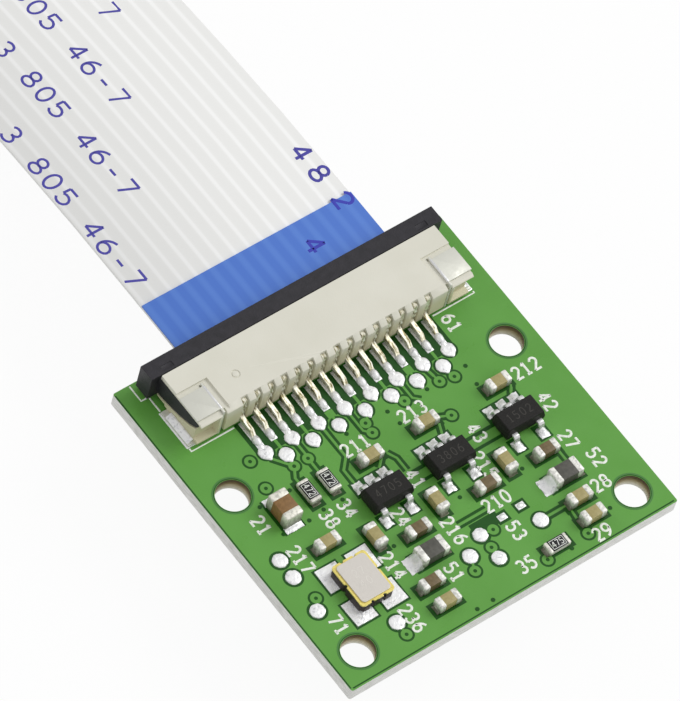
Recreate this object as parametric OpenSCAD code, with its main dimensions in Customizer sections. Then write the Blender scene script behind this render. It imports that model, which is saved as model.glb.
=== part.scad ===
// Camera module: a small board with a fixed-focus camera under it, and on top
// the parts that feed it and a slide-lock connector that holds a flat ribbon cable.
// The origin is on the lens axis, at the front face of the lens barrel.
// +Z points to the component side, +Y to the cable. The module lies on its lens.

/* [Board] */
// Width of the board, along the cable connector
board_w = 25; // [25:0.5:30]
// Depth of the board, from the far edge to the cable edge
board_d = 24; // [24:0.5:28]
// Thickness of the board
board_t = 1.0; // [0.8:0.1:1.6]
// Radius of the board's corners
corner_r = 0.15; // [0.1:0.05:1]
// Diameter of the four mounting holes
hole_d = 2.2; // [2:0.1:2.6]
// Distance of the hole centres from the side edges and from the far edge
hole_edge = 2; // [1.8:0.1:2.2]
// Spacing of the holes from the far edge towards the cable
hole_span = 12.5; // [12:0.1:13]
// Distance from the far edge to the lens axis
axis_y = 14.5; // [14:0.1:15]
// Thickness of the solder under the parts
solder_t = 0.05; // [0.03:0.01:0.08]

/* [Cable connector] */
// Number of ways of the connector and the ribbon cable
ways = 15; // [11:2:15]
// Spacing of the contacts
pitch = 1.0; // [1:0.05:1.1]
// Width of the housing beyond the last contact, at each end
housing_side = 3.4; // [3.3:0.1:3.6]
// Depth of the housing along the cable
housing_d = 4.1; // [4:0.1:4.6]
// Height of the housing above the board
housing_h = 2.5; // [2.5:0.1:2.8]
// Distance of the housing's front from the far edge of the board
housing_y = 18.33; // [18.2:0.01:18.5]
// Thickness of a stamped contact
contact_t = 0.3; // [0.2:0.01:0.32]
// Width of a contact slot in the housing's front
slot_w = 0.5; // [0.45:0.01:0.55]
// Thickness of the slider's bar along the cable
bar_d = 1.15; // [1:0.05:1.3]
// How far the slider's bar stands past the housing at each end
bar_over = 0.7; // [0.5:0.1:0.8]
// Thickness of a side arm of the slider
arm_t = 0.3; // [0.25:0.01:0.32]
// Running clearance round the slider
slide_gap = 0.06; // [0.04:0.01:0.08]

/* [Ribbon cable] */
// Width of the ribbon
ribbon_w = 16; // [12:0.5:16]
// Thickness of the ribbon
ribbon_t = 0.2; // [0.15:0.01:0.2]
// Length of the stiffener at each end
stiffener_l = 7.7; // [6:0.1:9]
// Thickness of the stiffener
stiffener_t = 0.15; // [0.1:0.01:0.17]
// Length of bare conductor at each end
bare_l = 4; // [3:0.5:5]

/* [Camera] */
// Height of the camera under the board
camera_h = 5.5; // [5.3:0.1:6]
// Side of the square lens holder
holder_w = 8.5; // [8:0.1:9]
// Diameter of the lens barrel's head
barrel_d = 6.6; // [6.5:0.1:6.8]
// Diameter of the barrel's thread, inside the holder's neck
thread_d = 6; // [5.6:0.1:6]
// Height of the barrel's head
head_h = 1.0; // [0.8:0.1:1.1]
// How far the barrel stands out of the holder's neck
barrel_out = 1.2; // [1.2:0.1:1.4]
// Clear aperture in the front of the barrel
aperture_d = 1.8; // [1.4:0.1:2.4]

/* [Hidden] */
$fn = 48;
eps = 0.01;
board_z = camera_h;
top_z = board_z + board_t;
housing_w = (ways - 1) * pitch + 2 * housing_side;
half_w = housing_w / 2;
housing_lift = 0.35;
cavity_w = (ways - 1) * pitch + 2.6;
cavity_y = 1.4;
cavity_z = [1.0, 2.05];
mouth_flare = 0.3;
cable_z = 1.15;
bare_t = 0.05;
ribbon_y0 = housing_y - axis_y + cavity_y + 0.07;
latch_t = 0.15;
latch_w = 1.85;
latch_y = 0.4;
latch_over = 0.08;
leg_y = 0.08;
leg_window = 0.2;
relief_z = [0.5, 2.15];
relief_d = 0.45;
latch_x = half_w - 1.8;
recess_x = half_w - 2.25;
recess_d = 2.62;
flange_y = 3.3;
foot_out = 0.45;
foot_z = solder_t + latch_t;
fillet_l = 2.2;
fillet_h = 0.26;
disc_r = 0.48;
disc_h = 0.15;
row_near = 15.87;
row_far = 15.1;
contact_tail = 1.85;
holder_z = 4.5;
base_t = 0.5;
foam_t = board_z - holder_z - base_t;
barrel_l = 3.0;
neck_z = barrel_out;
shoulder_z = barrel_out + 1;
filter_z = 3.5;
flex_t = 0.1;
plug_y = -10.1;

// Side outline of the housing: front face, chamfer, top and mouth.
housing_outline = [[0, housing_lift], [0, housing_h - 0.3], [0.4, housing_h], [housing_d, housing_h],
    [housing_d, housing_lift]];

// Side outline of a stamped contact: solder foot, tail, sprung beam, post and barbed front edge.
contact_outline = [[-contact_tail, solder_t], [-1.2, solder_t], [-0.95, 0.18], [0.4, 0.22], [0.9, 0.5],
    [3.3, 0.6], [3.6, 0.8], [3.5, 0.9], [3.2, cable_z - bare_t], [3.0, cable_z - bare_t], [2.6, 0.86],
    [1.15, 0.8], [1.0, 0.95], [1.0, 1.84], [0.4, 1.84], [0.4, 2.25], [0.18, 2.25], [0.1, 2.1], [0.1, 1.75],
    [0.02, 1.65], [0.1, 1.55], [0.1, 1.3], [0.02, 1.2], [0.1, 1.1], [0.1, 0.68], [-0.1, 0.6], [-0.95, 0.5],
    [-1.25, 0.2], [-contact_tail, 0.18]];

// Side outline of the slider's arm, from the bar to its rounded tip.
arm_outline = [[housing_d + slide_gap + eps, 0.62], [3.6, 0.62], [2.1, 0.92], [1.0, 1.3], [0.55, 1.6],
    [0.36, 1.8], [0.3, 1.95], [0.36, 2.06], [0.5, 2.1], [housing_d + slide_gap + eps, 2.1]];

// Route of the ribbon from the connector down to the surface it lies on: [y, z].
route = [[ribbon_y0, 7.75], [14, 7.75], [20, 7.65], [26, 7.3], [32, 6.8], [38, 6.1], [44, 5.3], [50, 4.4],
    [56, 3.5], [62, 2.6], [68, 1.8], [74, 1.1], [80, 0.6], [86, 0.25], [92, 0.15], [154.8, 0.15]];

// Sizes of the chip parts: length, width, height and length of a metal cap.
chip_0603 = [1.6, 0.8, 0.75, 0.3];
chip_0805 = [2.0, 1.25, 1.2, 0.4];
chip_resistor = [1.6, 0.8, 0.45, 0.28];
chip_ferrite = [2.0, 1.15, 0.9, 0.42];

// Places on the board: x from the left edge, y from the far edge, and the turn of a chip part.
capacitor_at = [[10.6, 12.2, 0], [14.95, 12.35, 0], [20.45, 12.25, 0], [7.45, 7.6, 90], [12.15, 7.6, 90],
    [17.45, 7.6, 90], [9.95, 6.6, 0], [15.5, 6.9, 0], [20.05, 6.9, 0], [4.7, 8.75, 0], [8.4, 3.25, 0],
    [8.45, 1.75, 0], [19.75, 3.25, 0], [19.7, 1.85, 0]];
bulk_at = [3.8, 11.9, 90];
resistor_at = [[5.95, 12.2, 90], [7.45, 12.2, 90], [16.6, 1.4, 0]];
ferrite_at = [[9.65, 4.95, 0], [20.0, 5.0, 0]];
regulator_at = [[9.8, 9.55], [14.55, 9.5], [19.9, 9.55]];
oscillator_at = [4.85, 5.5];
test_point_at = [[1.7, 9.4], [1.7, 8.05], [1.55, 5.45], [5.15, 2.3], [11.7, 3.6], [13.15, 4.45],
    [13.15, 2.6], [16.95, 3.35]];
link_pad_at = [[15.05, 4.75], [16.5, 4.8]];
lead_pitch = 0.95;

// Places its children on the board: x from the left edge, y from the far edge, z above the top face.
module on_board() translate([-board_w / 2, -axis_y, top_z]) children();

// Places its children at the connector: x from its middle, y from its front face.
module on_connector() on_board() translate([board_w / 2, housing_y, 0]) children();

// Draws its outline in the YZ plane and gives it a width along X, centred.
module across(w) rotate([90, 0, 90]) translate([0, 0, -w / 2]) linear_extrude(w) children();

// A box from its lowest to its highest corner.
module span(low, high) translate(low) cube(high - low);

// A flat plate with round corners, standing on z = 0.
module plate(w, d, t, r) linear_extrude(t) union() {
    square([w - 2 * r, d], center = true);
    square([w, d - 2 * r], center = true);
    for (sx = [-1, 1], sy = [-1, 1]) translate([sx * (w / 2 - r), sy * (d / 2 - r)]) circle(r);
}

// A low mound of solder: a straight edge, then a flat-topped cone.
module mound(r, h) {
    cylinder(r = r, h = h / 3, $fn = 12);
    translate([0, 0, h / 3 - eps]) cylinder(r1 = r, r2 = r / 2, h = h * 2 / 3 + eps, $fn = 12);
}

function pin_x(i) = (i - (ways - 1) / 2) * pitch;

// ---------- board ----------

module pcb() color("forestgreen") difference() {
    translate([0, board_d / 2 - axis_y, board_z]) plate(board_w, board_d, board_t, corner_r);
    for (x = [-1, 1], y = [0, hole_span])
        translate([x * (board_w / 2 - hole_edge), hole_edge - axis_y + y, board_z - eps])
            cylinder(d = hole_d, h = board_t + 2 * eps);
}

// ---------- cable connector ----------

module connector_housing() color("ivory") on_connector() difference() {
    union() {
        across(housing_w) polygon(housing_outline);
        for (s = [-1, 1]) end_flange(s);
    }
    for (i = [0 : ways - 1]) translate([pin_x(i), 0, 0]) contact_channel();
    cable_cavity();
    for (s = [-1, 1]) end_cuts(s);
    moulding_mark();
}

// The foot at each end of the housing that stands on the hold-down.
module end_flange(s) mirror([s < 0 ? 1 : 0, 0, 0])
    span([half_w - 1.4, 0.1, foot_z], [half_w, flange_y, 0.5]);

// The slot in the front and the channel that one contact is pressed into.
module contact_channel() {
    span([-slot_w / 2, -eps, 0], [slot_w / 2, 0.4, housing_h + eps]);
    span([-contact_t / 2 - eps, 0.4 - eps, 0], [contact_t / 2 + eps, 1.05, 1.85]);
    span([-contact_t / 2 - eps, 0.4 - eps, 0.48], [contact_t / 2 + eps, housing_d + eps, 1.05]);
}

// The space for the cable's end and the slider's tongue, flared at its mouth.
module cable_cavity() across(cavity_w) polygon([[cavity_y, cavity_z[0]],
    [housing_d - mouth_flare, cavity_z[0]], [housing_d + eps, cavity_z[0] - 0.2],
    [housing_d + eps, cavity_z[1]], [cavity_y, cavity_z[1]]]);

// At each end: the arm's groove, the hold-down's recess and slot, and the reliefs in the front.
module end_cuts(s) mirror([s < 0 ? 1 : 0, 0, 0]) {
    translate([half_w, 0, 0]) across(2 * (arm_t + slide_gap + eps)) arm_groove();
    span([recess_x, -eps, housing_h - latch_t - eps], [half_w + eps, recess_d, housing_h + eps]);
    span([latch_x, latch_y, 0], [latch_x + latch_t, latch_y + latch_w + leg_window, housing_h]);
    span([latch_x - 0.18, -eps, 0], [latch_x + latch_t + 0.03, latch_y + eps, housing_h + eps]);
    translate([latch_x - 0.08, latch_y + latch_w, 1.2]) cube([latch_t + 0.16, leg_window, housing_h]);
    span([latch_x + 0.35, -eps, relief_z[0]], [half_w + eps, relief_d, relief_z[1]]);
}

module arm_groove() polygon([[housing_d + eps, 0.5], [3.6, 0.52], [2.0, 0.84], [0.95, 1.22], [0.45, 1.54],
    [0.25, 1.78], [0.2, 1.95], [0.25, 2.16], [housing_d + eps, 2.16]]);

module moulding_mark() translate([-6.5, 1.9, housing_h - 0.05]) difference() {
    cylinder(r = 0.3, h = 0.1);
    translate([0, 0, -eps]) cylinder(r = 0.2, h = 0.2);
}

module connector_contacts() color("goldenrod") on_connector()
    for (i = [0 : ways - 1]) translate([pin_x(i), 0, 0]) across(contact_t) polygon(contact_outline);

module connector_slider() color("#2d2b31") on_connector() {
    difference() {
        slider_bar();
        across(cavity_w) polygon([[0, cavity_z[0] - 0.1], [2 * housing_d, cavity_z[0] - 0.1],
            [2 * housing_d, 1.62], [0, 1.62]]);
        for (s = [-1, 1]) translate([s * (half_w - 0.7), housing_d + slide_gap + 0.35, housing_h - 0.05])
            span([-0.4, -0.18, 0], [0.4, 0.18, 0.1]);
    }
    across(cavity_w - 0.4) polygon([[1.75, 1.72], [2.05, 1.62], [housing_d + 0.2, 1.62],
        [housing_d + 0.2, 1.97], [2.05, 1.97], [1.75, 1.87]]);
    for (s = [-1, 1]) translate([s * (half_w - arm_t / 2), 0, 0]) across(arm_t) polygon(arm_outline);
}

module slider_bar() {
    y0 = housing_d + slide_gap;
    span([-half_w - bar_over, y0, housing_lift], [half_w + bar_over, y0 + bar_d, housing_h]);
}

// Bent metal strips that clip over the housing's ends and are soldered to the board.
module hold_downs() color("silver") on_connector() for (s = [-1, 1]) mirror([s < 0 ? 1 : 0, 0, 0]) {
    span([latch_x, latch_y, housing_h - latch_t], [half_w + latch_over, latch_y + latch_w, housing_h]);
    span([latch_x, leg_y, solder_t], [latch_x + latch_t, latch_y + latch_w + leg_window, housing_h]);
    span([latch_x, latch_y, solder_t], [half_w + foot_out, latch_y + latch_w, foot_z]);
    span([half_w - 0.2, 0.25, solder_t], [half_w + foot_out, 3.05, foot_z]);
}

// ---------- ribbon cable ----------

// One ring of the ribbon's section round a point of its route: flat, with bevelled edges.
function ring(y, z, slope, w, low, high) = let (e = min(0.05, (high - low) / 3))
    [for (p = [[-w / 2, low + e], [-w / 2 + e, low], [w / 2 - e, low], [w / 2, low + e],
        [w / 2, high - e], [w / 2 - e, high], [-w / 2 + e, high], [-w / 2, high - e]])
        [p[0], y - p[1] * sin(slope), z + p[1] * cos(slope)]];

// Direction of the route at point i, from its neighbours.
function slope_at(i) = let (a = route[max(i - 1, 0)], b = route[min(i + 1, len(route) - 1)])
    atan2(b[1] - a[1], b[0] - a[0]);

module ribbon_cable() color("whitesmoke") {
    n = len(route);
    points = [for (i = [0 : n - 1]) each ring(route[i][0], route[i][1], i == 1 ? 0 : slope_at(i),
        ribbon_w, -ribbon_t / 2, ribbon_t / 2)];
    sides = [for (i = [0 : n - 2], k = [0 : 7])
        [8 * i + k, 8 * i + 8 + k, 8 * i + 8 + (k + 1) % 8, 8 * i + (k + 1) % 8]];
    polyhedron(points, concat([[for (k = [0 : 7]) k]], sides, [[for (k = [7 : -1 : 0]) 8 * (n - 1) + k]]));
}

module ribbon_stiffener_near() color("royalblue")
    span([-ribbon_w / 2, ribbon_y0, route[0][1] + ribbon_t / 2],
        [ribbon_w / 2, ribbon_y0 + stiffener_l, route[0][1] + ribbon_t / 2 + stiffener_t]);

module ribbon_stiffener_far() color("royalblue") {
    far = route[len(route) - 1];
    span([-ribbon_w / 2, far[0] - stiffener_l, far[1] + ribbon_t / 2],
        [ribbon_w / 2, far[0], far[1] + ribbon_t / 2 + stiffener_t]);
}

module bare_strips(y, z) for (i = [0 : ways - 1])
    span([pin_x(i) - 0.35, y, z], [pin_x(i) + 0.35, y + bare_l, z + bare_t]);

module ribbon_conductors_near() color("gold")
    bare_strips(ribbon_y0, route[0][1] - ribbon_t / 2 - bare_t);

module ribbon_conductors_far() color("gold") {
    far = route[len(route) - 1];
    bare_strips(far[0] - bare_l, far[1] - ribbon_t / 2 - bare_t);
}

// ---------- chip parts ----------

// A chip part: a block with a metal cap at each end. size = [length, width, height, cap].
module chip(at, size) on_board() translate([at[0], at[1], solder_t]) rotate([0, 0, at[2]]) {
    skin = 0.03;
    translate([0, 0, size[2] / 2]) cube([size[0] - 2 * skin, size[1] - 2 * skin, size[2] - 2 * skin],
        center = true);
    for (s = [-1, 1]) translate([s * (size[0] - size[3]) / 2, 0, size[2] / 2])
        cube([size[3], size[1], size[2]], center = true);
}

module capacitor(i) color(i >= 7 && i <= 9 || i == 11 ? "#8a6a4a" : "burlywood")
    chip(capacitor_at[i - 1], chip_0603);

module capacitor_1() capacitor(1);
module capacitor_2() capacitor(2);
module capacitor_3() capacitor(3);
module capacitor_4() capacitor(4);
module capacitor_5() capacitor(5);
module capacitor_6() capacitor(6);
module capacitor_7() capacitor(7);
module capacitor_8() capacitor(8);
module capacitor_9() capacitor(9);
module capacitor_10() capacitor(10);
module capacitor_11() capacitor(11);
module capacitor_12() capacitor(12);
module capacitor_13() capacitor(13);
module capacitor_14() capacitor(14);
module bulk_capacitor() color("#8f6b48") chip(bulk_at, chip_0805);
module resistor_1() color("#26262a") chip(resistor_at[0], chip_resistor);
module resistor_2() color("#26262a") chip(resistor_at[1], chip_resistor);
module resistor_3() color("#26262a") chip(resistor_at[2], chip_resistor);
module ferrite_1() color("dimgray") chip(ferrite_at[0], chip_ferrite);
module ferrite_2() color("dimgray") chip(ferrite_at[1], chip_ferrite);

// ---------- regulators ----------

// Moulded body, drafted from a band at mid-height where the leads leave it.
module regulator_body(i) color("#2b2b2d") on_board()
    translate([regulator_at[i - 1][0], regulator_at[i - 1][1], 0]) intersection() {
        across(2.9 + eps) regulator_section(1.6);
        rotate([0, 0, 90]) across(1.6 + eps) regulator_section(2.9);
    }

// Half-height section of a body of width w: upper and lower drafts meet the band.
module regulator_section(w) polygon([[-w / 2 + 0.08, 0.12], [w / 2 - 0.08, 0.12], [w / 2, 0.55],
    [w / 2, 0.75], [w / 2 - 0.1, 1.2], [-w / 2 + 0.1, 1.2], [-w / 2, 0.75], [-w / 2, 0.55]]);

module regulator_body_1() regulator_body(1);
module regulator_body_2() regulator_body(2);
module regulator_body_3() regulator_body(3);

// Five bent leads to each regulator: three towards the connector, two on the far side.
module regulator_leads() color("silver") on_board() for (at = regulator_at) translate([at[0], at[1], 0]) {
    for (k = [-1, 0, 1]) translate([k * lead_pitch, 0, 0]) gull_lead();
    for (k = [-1, 1]) mirror([0, 1, 0]) translate([k * lead_pitch, 0, 0]) gull_lead();
}

module gull_lead() across(0.4) polygon([[0.8, 0.57], [0.95, 0.57], [1.05, 0.5], [1.12, solder_t],
    [1.45, solder_t], [1.45, solder_t + 0.15], [1.25, solder_t + 0.15], [1.17, 0.62], [1.02, 0.73],
    [0.8, 0.73]]);

// ---------- oscillator ----------

module oscillator_base() color("#3b3335") on_board() translate([oscillator_at[0], oscillator_at[1], solder_t])
    difference() {
        translate([-1.25, -1.6, 0]) cube([2.5, 3.2, 0.7]);
        for (sx = [-1, 1], sy = [-1, 1]) translate([sx * 1.25, sy * 1.6, -eps])
            cylinder(r = 0.2, h = 1);
        castellations();
    }

// The half-round notches in the oscillator's four sides.
module castellations() {
    for (sx = [-1, 1], sy = [-1, 1]) translate([sx * 0.45, sy * 1.6, -eps]) cylinder(r = 0.12, h = 1);
    for (sx = [-1, 1]) translate([sx * 1.25, 0.1, -eps]) cylinder(r = 0.12, h = 1);
}

module oscillator_seal() color("gold") on_board()
    translate([oscillator_at[0], oscillator_at[1], solder_t + 0.7]) difference() {
        plate(2.5, 3.2, 0.1, 0.25);
        translate([0, 0, -eps]) plate(1.9, 2.6, 0.2, 0.2);
        castellations();
    }

module oscillator_lid() color("gainsboro") on_board()
    translate([oscillator_at[0], oscillator_at[1], solder_t + 0.8]) plate(2.15, 2.85, 0.1, 0.25);

// ---------- solder ----------

// Soldered feet on lands that reach back under the tails, and a round test land for each: odd ways
// close to the feet, even ways further out.
module contact_solder() color("lightgray") on_board() for (i = [0 : ways - 1])
    translate([board_w / 2 + pin_x(i), 0, 0]) {
        span([-0.3, housing_y - contact_tail - 0.1, 0], [0.3, housing_y - 1.15, solder_t]);
        span([-0.25, housing_y - 1.2, 0], [0.25, housing_y - 0.05, solder_t]);
        translate([0, i % 2 == 0 ? row_near : row_far, 0]) mound(disc_r, disc_h);
    }

module hold_down_solder() color("lightgray") on_connector() for (s = [-1, 1]) mirror([s < 0 ? 1 : 0, 0, 0]) {
    span([latch_x - 0.1, 0.2, 0], [half_w + foot_out + 0.1, 3.1, solder_t]);
    translate([half_w + eps, latch_y + fillet_l, foot_z]) rotate([90, 0, 0]) linear_extrude(fillet_l)
        polygon([[0, 0], [foot_out - eps, 0], [0.15, fillet_h - 0.04], [0, fillet_h]]);
}

// Two pads under each chip part, a little longer than its metal caps.
module chip_pads(at, size) on_board() translate([at[0], at[1], 0]) rotate([0, 0, at[2]])
    for (s = [-1, 1]) translate([s * (size[0] / 2 - size[3] / 2 + 0.15), 0, solder_t / 2])
        cube([size[3] + 0.6, size[1] + 0.04, solder_t], center = true);

module chip_solder() color("lightgray") {
    for (at = capacitor_at) chip_pads(at, chip_0603);
    chip_pads(bulk_at, chip_0805);
    for (at = resistor_at) chip_pads(at, chip_resistor);
    for (at = ferrite_at) chip_pads(at, chip_ferrite);
}

module regulator_solder() color("lightgray") on_board() for (at = regulator_at)
    for (k = [-1, 0, 1], s = [-1, 1]) if (s > 0 || k != 0)
        translate([at[0] + k * lead_pitch, at[1] + s * 1.35, solder_t / 2])
            cube([0.65, 0.8, solder_t], center = true);

module oscillator_solder() color("lightgray") on_board()
    for (x = [2.95, 5.2], y = [3.3, 5.95]) span([x, y, 0], [x + 1.55, y + 1.7, solder_t]);

module test_points() color("lightgray") on_board() {
    for (at = test_point_at) translate([at[0], at[1], 0]) mound(0.52, disc_h);
    for (at = link_pad_at) translate([at[0], at[1], 0]) mound(0.27, 0.12);
}

// ---------- camera, under the board ----------

module foam_pad() color("#3a3a3a") translate([-holder_w / 2 + 0.5, -holder_w / 2 + 0.5, board_z - foam_t])
    cube([holder_w - 1, holder_w - 1, foam_t]);

module sensor_base() color("darkgoldenrod") translate([0, 0, holder_z])
    plate(holder_w, holder_w, base_t, 0.3);

module image_sensor() color("slategray") translate([-3, -2.8, holder_z - 0.4]) cube([6, 5.6, 0.4]);

module infrared_filter() color("lightblue", 0.6) translate([-2.75, -2.75, filter_z - 0.3])
    cube([5.5, 5.5, 0.3]);

// Square holder with a round threaded neck; the filter sits on a ledge inside it.
module lens_holder() color("#1d1d1f") difference() {
    union() {
        translate([0, 0, shoulder_z]) plate(holder_w, holder_w, holder_z - shoulder_z, 0.4);
        translate([0, 0, neck_z]) cylinder(d = thread_d + 1.4, h = shoulder_z - neck_z + eps);
    }
    translate([0, 0, neck_z - eps]) cylinder(d = thread_d, h = barrel_l - neck_z + eps);
    translate([0, 0, barrel_l - eps]) cylinder(d = 5, h = 0.4);
    translate([-2.75, -2.75, filter_z - 0.3]) cube([5.5, 5.5, 0.4]);
    translate([-3.6, -3.6, filter_z]) cube([7.2, 7.2, 2]);
}

// Turned barrel with a coned aperture, a threaded shank and three spanner notches in its front.
module lens_barrel() color("#161618") difference() {
    rotate_extrude() polygon([[aperture_d / 2, 0.35], [1.9, 0], [barrel_d / 2, 0], [barrel_d / 2, head_h],
        [thread_d / 2, head_h], [thread_d / 2, barrel_l], [2.3, barrel_l], [2.3, 0.6],
        [aperture_d / 2, 0.6]]);
    for (a = [0, 120, 240]) rotate([0, 0, a]) span([2.35, -0.3, -eps], [4, 0.3, 0.35]);
}

module lens_front() color("steelblue", 0.5) translate([0, 0, 0.6]) intersection() {
    cylinder(r = 2.3, h = 0.9);
    translate([0, 0, 6]) sphere(6);
}

module lens_rear() color("steelblue", 0.5) translate([0, 0, 1.5]) union() {
    cylinder(r = 2.3, h = 0.5);
    translate([0, 0, 0.5 - eps]) cylinder(r1 = 1.9, r2 = 1.3, h = 0.5);
}

// Flexible circuit from the camera's base to its plug.
module sensor_flex() color("#c8841c") translate([0, 0, holder_z]) linear_extrude(flex_t)
    polygon([[-2.6, -holder_w / 2], [2.6, -holder_w / 2], [2.6, -7.4], [4.2, -8.4], [4.2, plug_y - 1.5],
        [-4.2, plug_y - 1.5], [-4.2, -8.4], [-2.6, -7.4]]);

module flex_plug() color("#2a2a2a") translate([0, plug_y, holder_z + flex_t])
    difference() {
        span([-3.6, -0.85, 0], [3.6, 0.85, 0.65]);
        span([-3.2, -0.3, 0.25], [3.2, 0.3, 1]);
    }

module flex_socket() color("#3a3632") translate([0, plug_y, 0]) union() {
    difference() {
        span([-4.1, -1.35, holder_z + flex_t + 0.2], [4.1, 1.35, board_z]);
        span([-3.65, -0.9, holder_z], [3.65, 0.9, holder_z + flex_t + 0.65]);
    }
    span([-3.15, -0.25, holder_z + flex_t + 0.3], [3.15, 0.25, board_z - 0.2]);
}

// Parts on the lens side hang from the board's under face.
module under_board(at) translate([at[0] - board_w / 2, at[1] - axis_y, board_z]) mirror([0, 0, 1]) children();

module status_led() color("tomato") under_board([21.5, 8]) union() {
    translate([-0.8, -0.4, 0]) cube([1.6, 0.8, 0.3]);
    translate([-0.5, -0.4, 0.3 - eps]) cube([1.0, 0.8, 0.35]);
}

module led_resistor() color("#26262a") under_board([21.5, 6]) translate([-0.8, -0.4, 0])
    cube([1.6, 0.8, 0.45]);

pcb();
connector_housing();
connector_contacts();
connector_slider();
hold_downs();
ribbon_cable();
ribbon_stiffener_near();
ribbon_stiffener_far();
ribbon_conductors_near();
ribbon_conductors_far();
capacitor_1();
capacitor_2();
capacitor_3();
capacitor_4();
capacitor_5();
capacitor_6();
capacitor_7();
capacitor_8();
capacitor_9();
capacitor_10();
capacitor_11();
capacitor_12();
capacitor_13();
capacitor_14();
bulk_capacitor();
resistor_1();
resistor_2();
resistor_3();
ferrite_1();
ferrite_2();
regulator_body_1();
regulator_body_2();
regulator_body_3();
regulator_leads();
oscillator_base();
oscillator_seal();
oscillator_lid();
contact_solder();
hold_down_solder();
chip_solder();
regulator_solder();
oscillator_solder();
test_points();
foam_pad();
sensor_base();
image_sensor();
infrared_filter();
lens_holder();
lens_barrel();
lens_front();
lens_rear();
sensor_flex();
flex_plug();
flex_socket();
status_led();
led_resistor();
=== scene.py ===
"""Looks for a board camera with its ribbon cable.

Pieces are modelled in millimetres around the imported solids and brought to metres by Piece.done().
Places on the board are given as x from its left edge, y from its far edge and z above its top face.
"""

import math
from random import Random

import bmesh
import bpy
from mathutils import Matrix, Vector, noise


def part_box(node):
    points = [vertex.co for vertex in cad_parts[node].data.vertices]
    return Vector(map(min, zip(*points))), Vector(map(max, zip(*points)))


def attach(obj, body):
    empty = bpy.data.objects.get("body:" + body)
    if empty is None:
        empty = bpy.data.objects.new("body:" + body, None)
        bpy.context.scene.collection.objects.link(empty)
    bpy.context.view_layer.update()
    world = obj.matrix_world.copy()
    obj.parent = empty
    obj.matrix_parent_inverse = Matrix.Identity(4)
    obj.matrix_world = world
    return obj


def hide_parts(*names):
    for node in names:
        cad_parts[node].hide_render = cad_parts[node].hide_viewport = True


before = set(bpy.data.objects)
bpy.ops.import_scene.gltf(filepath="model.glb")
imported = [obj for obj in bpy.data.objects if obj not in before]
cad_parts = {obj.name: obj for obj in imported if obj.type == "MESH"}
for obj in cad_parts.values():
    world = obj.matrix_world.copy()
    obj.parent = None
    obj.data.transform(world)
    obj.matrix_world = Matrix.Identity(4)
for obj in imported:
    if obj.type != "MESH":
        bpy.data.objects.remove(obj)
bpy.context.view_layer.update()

# Left alone, the noise would start from the clock and differ at each run.
noise.seed_set(11)

MM = 0.001
WAYS = 15  # contacts side by side in the connector
MODULE = "module"


def box_mm(node):
    """Lowest and highest corner of a solid, in millimetres."""
    low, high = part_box(node)
    return low / MM, high / MM


BOARD_LOW, BOARD_HIGH = box_mm("pcb")
TOP = BOARD_HIGH.z
UNDER = BOARD_LOW.z


def on_board(x, y, z=0.0):
    return Vector((BOARD_LOW.x + x, BOARD_LOW.y + y, TOP + z))


def way_x(i):
    """Middle of contact i, across the connector."""
    return i - (WAYS - 1) / 2


# ---------------------------------------------------------------- camera and ribbon route

CAMERA_AT = Vector((-192.84, -148.43, 376.61))
AIM = Vector((1.246, 4.786, 6.5))
ROLL = math.radians(17.28)
LENS_MM = 378.45

# Route of the ribbon from the connector down to the surface, as (y, z) in millimetres.
ROUTE = [
    (5.3, 7.75), (14, 7.75), (20, 7.65), (26, 7.3), (32, 6.8), (38, 6.1), (44, 5.3), (50, 4.4),
    (56, 3.5), (62, 2.6), (68, 1.8), (74, 1.1), (80, 0.6), (86, 0.25), (92, 0.15), (154.8, 0.15),
]
RIBBON_W = 16.0
RIBBON_T = 0.2
STIFFENER_T = 0.15


def make_camera():
    camera = bpy.data.objects.new("camera", bpy.data.cameras.new("camera"))
    camera.data.sensor_width = 36
    camera.data.lens = LENS_MM
    camera.data.clip_start = 0.01
    camera.data.clip_end = 10
    facing = (AIM - CAMERA_AT).to_track_quat("-Z", "Y").to_matrix()
    turn = facing @ Matrix.Rotation(ROLL, 3, "Z")
    camera.matrix_world = Matrix.Translation(CAMERA_AT * MM) @ turn.to_4x4()
    bpy.context.scene.collection.objects.link(camera)
    bpy.context.scene.camera = camera


make_camera()


# ---------------------------------------------------------------- materials


def tint(r, g, b):
    """Linear colour from the usual 0 to 255 values."""
    return tuple(((c / 255 + 0.055) / 1.055) ** 2.4 if c > 10 else c / 3294.6 for c in (r, g, b)) + (1,)


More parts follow.
